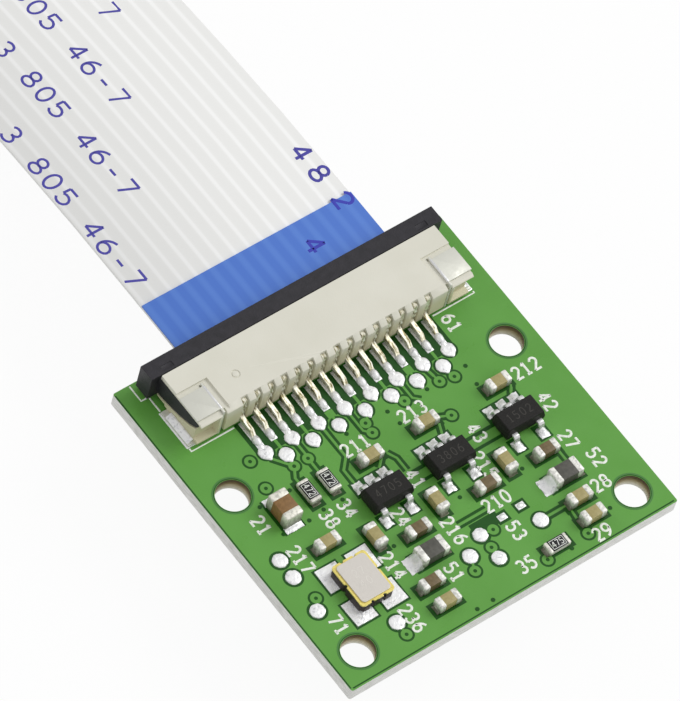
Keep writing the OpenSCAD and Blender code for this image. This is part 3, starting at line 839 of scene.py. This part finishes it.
def make_tracks():
    gaps = Piece("mask_gaps")
    field(gaps, GAP_LAYER, MASK_GAP, 4.95, FIELD_Y[0], 20.05, FIELD_Y[1])
    for i in range(WAYS):
        x = BOARD_MID + way_x(i)
        y = ROW_NEAR if near_row(i) else ROW_FAR
        spot(gaps, GAP_LAYER, MASK_GAP, x, y, LAND_GAP_R)
    for points in TRACKS:
        trace_line(gaps, GAP_LAYER, MASK_GAP, points, TRACK_GAP_W)
    for x, y in VIAS:
        spot(gaps, GAP_LAYER, MASK_GAP, x, y, VIA_GAP_R)
    for x, y in TEST_POINTS:
        spot(gaps, GAP_LAYER, MASK_GAP, x, y, TEST_GAP_R)
    for low, high in pad_fields():
        field(gaps, GAP_LAYER, MASK_GAP, *low, *high)
    for corners in BARE_STRIPS:
        field(gaps, GAP_LAYER, MASK_GAP, *corners)
    for line in ([(0.2, 0.15), (24.8, 0.15)], [(0.07, 0.2), (0.07, 23.8)]):
        trace_line(gaps, GAP_LAYER, MASK_GAP, line, 0.1)
    for x, y in HOLES:
        hole_ring(gaps, x, y, HOLE_R + 0.03, HOLE_R + 0.09, MASK_GAP)
        hole_ring(gaps, x, y, HOLE_R + 0.09, HOLE_RING_R, MASK_RIM)
    gaps.done("board_mask")

    copper = Piece("covered_tracks")
    for points in TRACKS:
        trace_line(copper, COPPER_LAYER, MASK, points, TRACK_W)
    for x, y in VIAS:
        spot(copper, COPPER_LAYER, MASK, x, y, VIA_R)
    for i in range(WAYS):
        if not near_row(i):
            x = BOARD_MID + way_x(i)
            trace_line(copper, COPPER_LAYER, MASK, [(x, 16.4), (x, 15.4)], 0.24)
    for x in (10.5, 16.5):
        field(copper, COPPER_LAYER, MASK, x - 0.28, 15.72, x + 0.28, 16.25)
    for x, y in VIAS:
        spot(copper, DOT_LAYER, MASK_GAP, x, y, BORE_R, 12)
    for x, y in DOTS:
        spot(copper, DOT_LAYER, MASK_GAP, x, y, DOT_R, 12)
    copper.done("board_mask")


def hole_ring(piece, x, y, inner, outer, material):
    """A flat ring of bare-looking mask round a hole, spun from its section."""
    bm = bmesh.new()
    low, high = TOP + SUNK, TOP + 0.006
    corners = ((inner, low), (inner, high), (outer, high), (outer, low))
    section = [bm.verts.new((r, 0, z)) for r, z in corners]
    edges = [bm.edges.new(pair) for pair in zip(section, section[1:] + section[:1])]
    bmesh.ops.spin(
        bm, geom=section + edges, cent=(0, 0, 0), axis=(0, 0, 1), angle=math.tau, steps=48, use_merge=True,
    )
    bmesh.ops.remove_doubles(bm, verts=bm.verts, dist=0.0005)
    bmesh.ops.recalc_face_normals(bm, faces=bm.faces)
    bmesh.ops.translate(bm, vec=on_board(x, y, -TOP), verts=bm.verts)
    piece.add(bm, material)


CHIPS = [f"capacitor_{k}" for k in range(1, 15)]
CHIPS += ["bulk_capacitor", "resistor_1", "resistor_2", "resistor_3", "ferrite_1", "ferrite_2"]
REGULATORS = [f"regulator_body_{k}" for k in (1, 2, 3)]
OSCILLATOR_PADS = [(x, y) for x in (2.95, 5.2) for y in (3.3, 5.95)]
PAD_SIZE = (1.55, 1.7)


def chip_frame(node):
    """Middle, length, width and height of a chip part, and whether it lies along y."""
    low, high = box_mm(node)
    size = high - low
    along_y = size.y > size.x
    middle = (low + high) / 2
    return middle, max(size.x, size.y), min(size.x, size.y), size.z, along_y


def pad_fields():
    """Clearance rectangles round every pad, as corners on the board."""
    fields = []
    for node in CHIPS:
        middle, length, width, _, along_y = chip_frame(node)
        x, y = middle.x - BOARD_LOW.x, middle.y - BOARD_LOW.y
        reach, side = length / 2 + 0.36, width / 2 + GAP_W
        half = (side, reach) if along_y else (reach, side)
        fields.append(((x - half[0], y - half[1]), (x + half[0], y + half[1])))
    for node in REGULATORS:
        low, high = box_mm(node)
        x, y = (low.x + high.x) / 2 - BOARD_LOW.x, (low.y + high.y) / 2 - BOARD_LOW.y
        fields.append(((x - 1.45, y + 0.75), (x + 1.45, y + 1.9)))
        for s in (-1, 1):
            fields.append(((x + s * 0.95 - 0.48, y - 1.9), (x + s * 0.95 + 0.48, y - 0.75)))
    for x, y in OSCILLATOR_PADS:
        fields.append(((x - GAP_W, y - GAP_W), (x + PAD_SIZE[0] + GAP_W, y + PAD_SIZE[1] + GAP_W)))
    for x, y in LINK_PADS:
        fields.append(((x - 0.45, y - 0.4), (x + 0.45, y + 0.4)))
    return fields


make_tracks()

# Numbers printed beside the parts: digits, x and y of the lower left corner, height, turned.
UPRIGHT = [
    ("211", 9.5, 13.0), ("213", 13.95, 13.1), ("212", 21.85, 11.9), ("210", 14.5, 5.4), ("28", 21.1, 3.05),
    ("29", 19.05, 0.3), ("35", 13.7, 0.95),
]
TURNED = [
    ("38", 5.6, 10.75), ("34", 6.95, 10.75), ("21", 1.8, 12.55), ("41", 11.75, 10.25), ("42", 22.05, 10.35),
    ("215", 15.95, 9.15), ("43", 16.95, 10.85), ("27", 21.5, 7.55), ("52", 22.2, 5.65), ("216", 11.55, 6.5),
    ("51", 9.8, 3.85), ("214", 6.9, 6.5), ("236", 5.7, 3.0), ("217", 2.4, 9.75), ("61", 20.45, 17.9),
    ("24", 9.35, 8.6), ("71", 1.65, 4.65), ("53", 14.8, 4.15),
]
INK_H = 0.86
INK_W = 0.16
INK_T = 0.03
INK_STEP = 0.8
OUTLINE_W = 0.12


def make_silkscreen():
    ink = Piece("printed_numbers")
    for turn, rows in ((0, UPRIGHT), (-90, TURNED)):
        for text, x, y in rows:
            place = Matrix.Translation(on_board(x, y)) @ Matrix.Rotation(math.radians(turn), 4, "Z")
            ink.add(number(text, INK_H, INK_STEP, INK_W, INK_T, place, 0.95), INK)
    outline = [
        [(1.2, 23.9), (1.2, 22.7), (1.65, 22.7)], [(1.75, 22.6), (1.75, 21.5)],
        [(1.7, 18.5), (1.7, 18.27), (4.9, 18.27)], [(20.15, 18.3), (23.4, 18.3), (23.4, 18.42)],
    ]
    for points in outline:
        ink.add(strokes([points], OUTLINE_W, INK_T, Matrix.Translation(on_board(0, 0))), INK)
    ink.done("board_mask")


make_silkscreen()


# ---------------------------------------------------------------- solder


def solder_ramp(low, high, height, climb, rounding=0.03):
    """A pad of solder with a hollow slope; climb gives the share of the height at (u, v) in 0..1."""
    bm = bmesh.new()
    low, high = Vector(low), Vector(high)
    steps = 8
    bmesh.ops.create_grid(bm, x_segments=steps, y_segments=steps, size=0.5)
    for vert in bm.verts:
        u, v = vert.co.x + 0.5, vert.co.y + 0.5
        vert.co = (
            low.x + (high.x - low.x) * u,
            low.y + (high.y - low.y) * v,
            low.z + rounding + height * climb(u, v),
        )
    rim = [e for e in bm.edges if len(e.link_faces) == 1]
    grown = bmesh.ops.extrude_edge_only(bm, edges=rim)
    for vert in [g for g in grown["geom"] if isinstance(g, bmesh.types.BMVert)]:
        vert.co.z = low.z - 0.02
    bmesh.ops.holes_fill(bm, edges=bm.edges[:], sides=0)
    bmesh.ops.recalc_face_normals(bm, faces=bm.faces)
    return bm


def end_fillet(node, end, reach, rise, share):
    """Solder from a pad up one end of a chip part; end is -1 or 1 along its length."""
    middle, length, width, _, along_y = chip_frame(node)
    inner, outer = length / 2 - 0.12, length / 2 + reach
    half = width / 2 * share

    def climb(u, v):
        along = u if not along_y else v
        across = v if not along_y else u
        t = along if end > 0 else 1 - along
        t = max(0.0, (t * (outer - inner) - 0.12) / (outer - inner - 0.12))
        side = 1 - (2 * abs(across - 0.5)) ** 3 * 0.75
        return (1 - t) ** 2.4 * side

    near, far = sorted((end * inner, end * outer))
    corners = ((near, -half), (far, half)) if not along_y else ((-half, near), (half, far))
    low = Vector((middle.x + corners[0][0], middle.y + corners[0][1], TOP))
    high = Vector((middle.x + corners[1][0], middle.y + corners[1][1], TOP))
    return solder_ramp(low, high, rise, climb)


def make_chip_solder():
    piece = Piece("chip_fillets")
    rng = Random(4)
    for node in CHIPS:
        height = chip_frame(node)[3]
        for end in (-1, 1):
            reach = 0.12 + 0.06 * rng.random()
            rise = height * (0.3 + 0.15 * rng.random())
            share, metal = 0.8, FILLET
            if node == "bulk_capacitor":
                reach, share, rise, metal = 0.34, 1.0, height * 0.12, SOLDER
            if node.startswith("ferrite"):
                reach, share, rise = 0.3, 1.0, height * 0.5
                if end < 0:
                    reach, rise, metal = 0.75, height * 0.8, SOLDER
            piece.add(ragged(end_fillet(node, end, reach, rise, share), 0.05, 3.0), metal)
    piece.done("solder", "chip_solder", sharp=50)


def make_contact_solder():
    """Soldered feet and round lands under the contacts' tails."""
    piece = Piece("contact_fillets")
    rng = Random(7)
    for i in range(WAYS):
        x = BOARD_MID + way_x(i)
        y = ROW_NEAR if near_row(i) else ROW_FAR
        foot = (FEET[0] + FEET[1]) / 2
        low, high = on_board(x - 0.25, FEET[0] - 0.1, SUNK), on_board(x + 0.25, FEET[1] + 1.1, 0.04)
        piece.add(block(low, high, 0.03), SOLDER)
        piece.add(dome(0.27, 0.3, on_board(x, foot - 0.02), 16, 1.75), SOLDER)
        size = 0.48 + 0.03 * rng.random()
        tips = (-1, 1) if near_row(i) else (-1,)
        piece.add(ragged(tipped_disc(size, 0.09 + 0.03 * rng.random(), on_board(x, y), tips), 0.03), SOLDER)
        if near_row(i):
            piece.add(dome(0.2, 0.12, on_board(x, y + size * 0.95), 12, 1.6), SOLDER)
    piece.done("solder", "contact_solder", sharp=50)


def make_test_points():
    piece = Piece("test_lands")
    rng = Random(3)
    for x, y in TEST_POINTS:
        piece.add(ragged(dome(0.49 + 0.03 * rng.random(), 0.1, on_board(x, y), 36, 1.0, FLAT), 0.04), SOLDER)
    for x, y in LINK_PADS:
        piece.add(block(on_board(x - 0.3, y - 0.22, SUNK), on_board(x + 0.3, y + 0.22, 0.03), 0.02), SOLDER)
        piece.add(dome(0.24, 0.14, on_board(x, y), 16, 0.8), SOLDER)
    piece.done("solder", "test_points", sharp=50)


def make_oscillator_solder():
    piece = Piece("oscillator_lands")
    for x, y in OSCILLATOR_PADS:
        low, high = on_board(x, y), on_board(x + PAD_SIZE[0], y + PAD_SIZE[1])
        toward = Vector((1 if x < 4.5 else -1, 1 if y < 5 else -1))

        def climb(u, v, toward=toward):
            s = u if toward.x > 0 else 1 - u
            t = v if toward.y > 0 else 1 - v
            ridge = 1 - min(1.0, abs(s - t) * 1.6)
            return 0.25 * ridge + 0.75 * (s * t) ** 2.5

        piece.add(solder_ramp(low, high, 0.3, climb, 0.04), SOLDER)
    piece.done("solder", "oscillator_solder", sharp=50)


def make_regulator_solder():
    piece = Piece("regulator_lands")
    for node in REGULATORS:
        low, high = box_mm(node)
        x, y = (low.x + high.x) / 2, (low.y + high.y) / 2
        for k in (-1, 0, 1):
            for side in (-1, 1):
                if side < 0 and k == 0:
                    continue
                pad_x, near, far = x + k * 0.95, y + side * 1.0, y + side * 1.78
                start, end = sorted((near, far))

                def climb(u, v, side=side):
                    t = v if side > 0 else 1 - v
                    bulge = 1 - (2 * abs(u - 0.5)) ** 2.5
                    return bulge * max(0.0, 1 - abs(t - 0.35) * 1.7)

                mound = solder_ramp((pad_x - 0.33, start, TOP), (pad_x + 0.33, end, TOP), 0.28, climb, 0.03)
                piece.add(ragged(mound, 0.07, 1.0), SOLDER)
    piece.done("solder", "regulator_solder", sharp=50)


make_chip_solder()
make_contact_solder()
make_test_points()
make_oscillator_solder()
make_regulator_solder()


# ---------------------------------------------------------------- chip parts


def chip_blocks(node, cap, cap_round, body_inset):
    """The block and the two metal ends of a chip part."""
    middle, length, width, height, along_y = chip_frame(node)
    half = Vector((width, length, height)) / 2 if along_y else Vector((length, width, height)) / 2
    inset = Vector((body_inset, body_inset, body_inset))
    reach = Vector((0, cap, 0)) if along_y else Vector((cap, 0, 0))
    body = block(middle - half + inset + reach * 0.3, middle + half - inset - reach * 0.3, 0.03)
    axis = 1 if along_y else 0
    caps = []
    for end in (-1, 1):
        low, high = middle - half, middle + half
        if end < 0:
            high[axis] = low[axis] + cap
        else:
            low[axis] = high[axis] - cap
        caps.append(block(low, high, cap_round, 3))
    return body, caps


def make_capacitor(node, ceramic, slot, cap=0.43, metal=CAP_METAL):
    piece = Piece(node + "_finished")
    body, caps = chip_blocks(node, cap, 0.1, 0.03)
    piece.add(body, ceramic)
    for end in caps:
        piece.add(end, metal)
    piece.done(slot, node)


# Height and thickness of a resistor's printed value.
VALUE_H = 0.4
VALUE_T = 0.01


def make_resistor(node, text):
    piece = Piece(node + "_finished")
    middle, length, width, height, along_y = chip_frame(node)
    body, caps = chip_blocks(node, 0.26, 0.08, 0.02)
    piece.add(body, ALUMINA)
    for end in caps:
        piece.add(end, CAP_FLAT)
    half_l, half_w = length / 2 - 0.22, width / 2 - 0.015
    half = Vector((half_w, half_l, 0)) if along_y else Vector((half_l, half_w, 0))
    face = middle.z + height / 2
    low = Vector((middle.x - half.x, middle.y - half.y, face - 0.06))
    high = Vector((middle.x + half.x, middle.y + half.y, face + 0.005))
    piece.add(block(low, high, 0.02), GLAZE)
    turn = Matrix.Rotation(math.radians(-90 if along_y else 0), 4, "Z")
    at = Matrix.Translation((middle.x, middle.y, face + 0.005)) @ turn
    start = Matrix.Translation((-VALUE_H, -VALUE_H / 2, 0))
    piece.add(number(text, VALUE_H, 0.72, 0.045, VALUE_T, at @ start, 0.9), INK)
    rim_l, rim_w = half_l - 0.1, half_w - 0.09
    for s in (-1, 1):
        side = [(-rim_l, s * rim_w), (rim_l, s * rim_w)]
        end = [(s * rim_l, -rim_w), (s * rim_l, rim_w)]
        for line in (side, end):
            piece.add(strokes([line], 0.035, VALUE_T, at), INK)
    piece.done("resistor_black", node)


def make_ferrite(node):
    piece = Piece(node + "_finished")
    body, caps = chip_blocks(node, 0.45, 0.09, 0.03)
    piece.add(body, FERRITE)
    for end in caps:
        piece.add(end, CAP_METAL)
    piece.done("ferrite_grey", node)


BROWN_PARTS = (7, 8, 9, 11)
for k in range(1, 15):
    brown = k in BROWN_PARTS
    make_capacitor(f"capacitor_{k}", BROWN if brown else TAN, "brown_ceramic" if brown else "tan_ceramic")
make_capacitor("bulk_capacitor", BULK_BROWN, "brown_ceramic", 0.56, CAP_TALL)
for k, text in ((1, "472"), (2, "472"), (3, "475")):
    make_resistor(f"resistor_{k}", text)
for k in (1, 2):
    make_ferrite(f"ferrite_{k}")


# ---------------------------------------------------------------- regulators and oscillator


def finish_solid(name, node, slot, material, rounding, segments=2, body=MODULE, sharp=50, weighted=False):
    """A solid in its own form, with eased edges and its finish."""
    piece = Piece(name, body)
    piece.add(copy_of(node, rounding, segments, sharp), material)
    piece.done(slot, node, weighted=weighted)


def make_regulator(node, text):
    piece = Piece(node + "_finished")
    piece.add(copy_of(node, 0.05, 3, 20), EPOXY)
    low, high = box_mm(node)
    start = Matrix.Translation(((low.x + high.x) / 2 - 0.95, (low.y + high.y) / 2 - 0.28, high.z))
    piece.add(number(text, 0.55, 0.9, 0.05, 0.004, start, 0.9), FAINT_MARK)
    piece.done("moulding_black", node, weighted=True)


def make_oscillator():
    piece = Piece("oscillator_finished")
    piece.add(copy_of("oscillator_base", 0.04, 2, 50), DARK_CERAMIC)
    piece.add(copy_of("oscillator_seal", 0.02, 2, 50), GOLD)
    low, high = box_mm("oscillator_lid")
    piece.add(copy_of("oscillator_lid", 0.03, 2, 50), LID_METAL)
    middle = (low + high) / 2
    for k, text in enumerate(("27", "40")):
        place = Matrix.Translation((middle.x - 0.45, middle.y + 0.2 - 0.75 * k, high.z))
        piece.add(number(text, 0.5, 1.0, 0.04, 0.003, place), LID_MARK)
    piece.done("dark_ceramic", "oscillator_base", "oscillator_seal", "oscillator_lid", weighted=True)


for k, text in ((1, "4705"), (2, "3806"), (3, "1502")):
    make_regulator(f"regulator_body_{k}", text)
finish_solid("regulator_leads_finished", "regulator_leads", "lead_metal", LEAD_METAL, 0.02, sharp=30)
make_oscillator()


# ---------------------------------------------------------------- connector


# Middle of each hold-down's blade across the connector, and the reach of its plate along y.
BLADE_IN = 8.675
PLATE_Y = (4.23, 6.08)


def bent_edge(side, top):
    """The rounded bend where a hold-down's plate turns down into its blade."""
    low = (side * BLADE_IN - 0.09, PLATE_Y[0], top - 0.16)
    high = (side * BLADE_IN + 0.09, PLATE_Y[1], top + 0.02)
    return block(low, high, 0.06, 3)


def make_connector():
    finish_solid("housing_finished", "connector_housing", "housing_plastic", IVORY, 0.03, weighted=True)
    finish_solid("contacts_finished", "connector_contacts", "contact_metal", CONTACT, 0.02, 1)
    clips = Piece("hold_downs_finished")
    clips.add(copy_of("hold_downs", 0.03, 2, 50), CLIP_METAL)
    clips.add(copy_of("hold_down_solder", 0.04, 2, 30), SOLDER)
    top = box_mm("hold_downs")[1].z
    for side in (-1, 1):
        # The bend takes the brighter, glossier lead finish: a painted highlight along the plate's inner
        # edge.
        clips.add(bent_edge(side, top), LEAD_METAL)
    clips.done("clip_metal", "hold_downs", "hold_down_solder")
    finish_solid(
        "slider_finished", "connector_slider", "slider_plastic", BLACK_SLIDER, 0.05,
        body="slider", weighted=True,
    )


make_connector()


# ---------------------------------------------------------------- other solids


def dress(node, material):
    """Gives a solid that keeps its own mesh its material."""
    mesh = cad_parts[node].data
    mesh.materials.clear()
    mesh.materials.append(material)


BLACK_LENS = ceramic_finish("black_lens_moulding", tint(38, 38, 40), tint(28, 28, 30), 0.55)
AMBER = ceramic_finish("amber_film", tint(196, 128, 40), tint(172, 106, 28), 0.3)
FOAM = ceramic_finish("foam", tint(52, 52, 52), tint(34, 34, 34), 0.9)
SILICON = ceramic_finish("silicon", tint(92, 86, 108), tint(70, 66, 88), 0.2)
GLASS = ceramic_finish("coated_glass", tint(60, 78, 120), tint(34, 44, 84), 0.08)
PLUG_BLACK = ceramic_finish("plug_moulding", tint(48, 44, 42), tint(36, 33, 32), 0.5)
LED_RED = ceramic_finish("led_resin", tint(214, 66, 52), tint(196, 50, 40), 0.3)

for node, material in {
    "ribbon_conductors_near": WIRE_METAL, "ribbon_conductors_far": WIRE_METAL, "foam_pad": FOAM,
    "sensor_base": AMBER, "image_sensor": SILICON, "infrared_filter": GLASS, "lens_holder": BLACK_LENS,
    "lens_barrel": BLACK_LENS, "lens_front": GLASS, "lens_rear": GLASS, "sensor_flex": AMBER,
    "flex_plug": PLUG_BLACK, "flex_socket": PLUG_BLACK, "status_led": LED_RED, "led_resistor": GLAZE,
}.items():
    dress(node, material)


# ---------------------------------------------------------------- floor and light


# Strength of the even light all round, and how much of the floor's look is its own plain white.
WORLD_LIGHT = 0.68
PAPER_GLOW = 0.94


def make_stage():
    """A white floor that the eye and every reflection see as plain paper, with a soft shadow on it."""
    bm = bmesh.new()
    bmesh.ops.create_grid(bm, x_segments=1, y_segments=1, size=3)
    mesh = bpy.data.meshes.new("floor")
    bm.to_mesh(mesh)
    bm.free()
    floor = bpy.data.objects.new("floor", mesh)
    floor.location.z = -0.00002
    bpy.context.scene.collection.objects.link(floor)
    paper = bpy.data.materials.new("floor_paper")
    paper.use_nodes = True
    nodes, links = paper.node_tree.nodes, paper.node_tree.links
    shader = nodes["Principled BSDF"]
    shader.inputs["Base Color"].default_value = (0.9, 0.9, 0.9, 1)
    shader.inputs["Roughness"].default_value = 0.9
    glow = nodes.new("ShaderNodeEmission")
    glow.inputs["Strength"].default_value = 1.0
    path = nodes.new("ShaderNodeLightPath")
    seen = path.outputs["Is Camera Ray"]
    for ray in ("Is Glossy Ray", "Is Transmission Ray"):
        either = nodes.new("ShaderNodeMath")
        either.operation = "MAXIMUM"
        links.new(seen, either.inputs[0])
        links.new(path.outputs[ray], either.inputs[1])
        seen = either.outputs[0]
    share = nodes.new("ShaderNodeMath")
    share.operation = "MULTIPLY"
    share.inputs[1].default_value = PAPER_GLOW
    links.new(seen, share.inputs[0])
    mix = nodes.new("ShaderNodeMixShader")
    links.new(share.outputs[0], mix.inputs["Fac"])
    links.new(shader.outputs[0], mix.inputs[1])
    links.new(glow.outputs[0], mix.inputs[2])
    links.new(mix.outputs[0], nodes["Material Output"].inputs["Surface"])
    mesh.materials.append(paper)


def area_lamp(name, at, aim, size, watts):
    lamp = bpy.data.lights.new(name, "AREA")
    lamp.size = size
    lamp.energy = watts
    obj = bpy.data.objects.new(name, lamp)
    obj.location = at
    obj.rotation_mode = "QUATERNION"
    obj.rotation_quaternion = (Vector(aim) - Vector(at)).to_track_quat("-Z", "Y")
    bpy.context.scene.collection.objects.link(obj)


def make_light():
    world = bpy.data.worlds.new("studio")
    bpy.context.scene.world = world
    world.use_nodes = True
    background = world.node_tree.nodes["Background"]
    background.inputs["Color"].default_value = (1, 1, 1, 1)
    background.inputs["Strength"].default_value = WORLD_LIGHT
    area_lamp("key", (0.55, -0.1, 0.6), (0, 0, 0), 0.4, 2.6)
    bpy.context.scene.view_settings.view_transform = "Standard"


make_stage()
make_light()
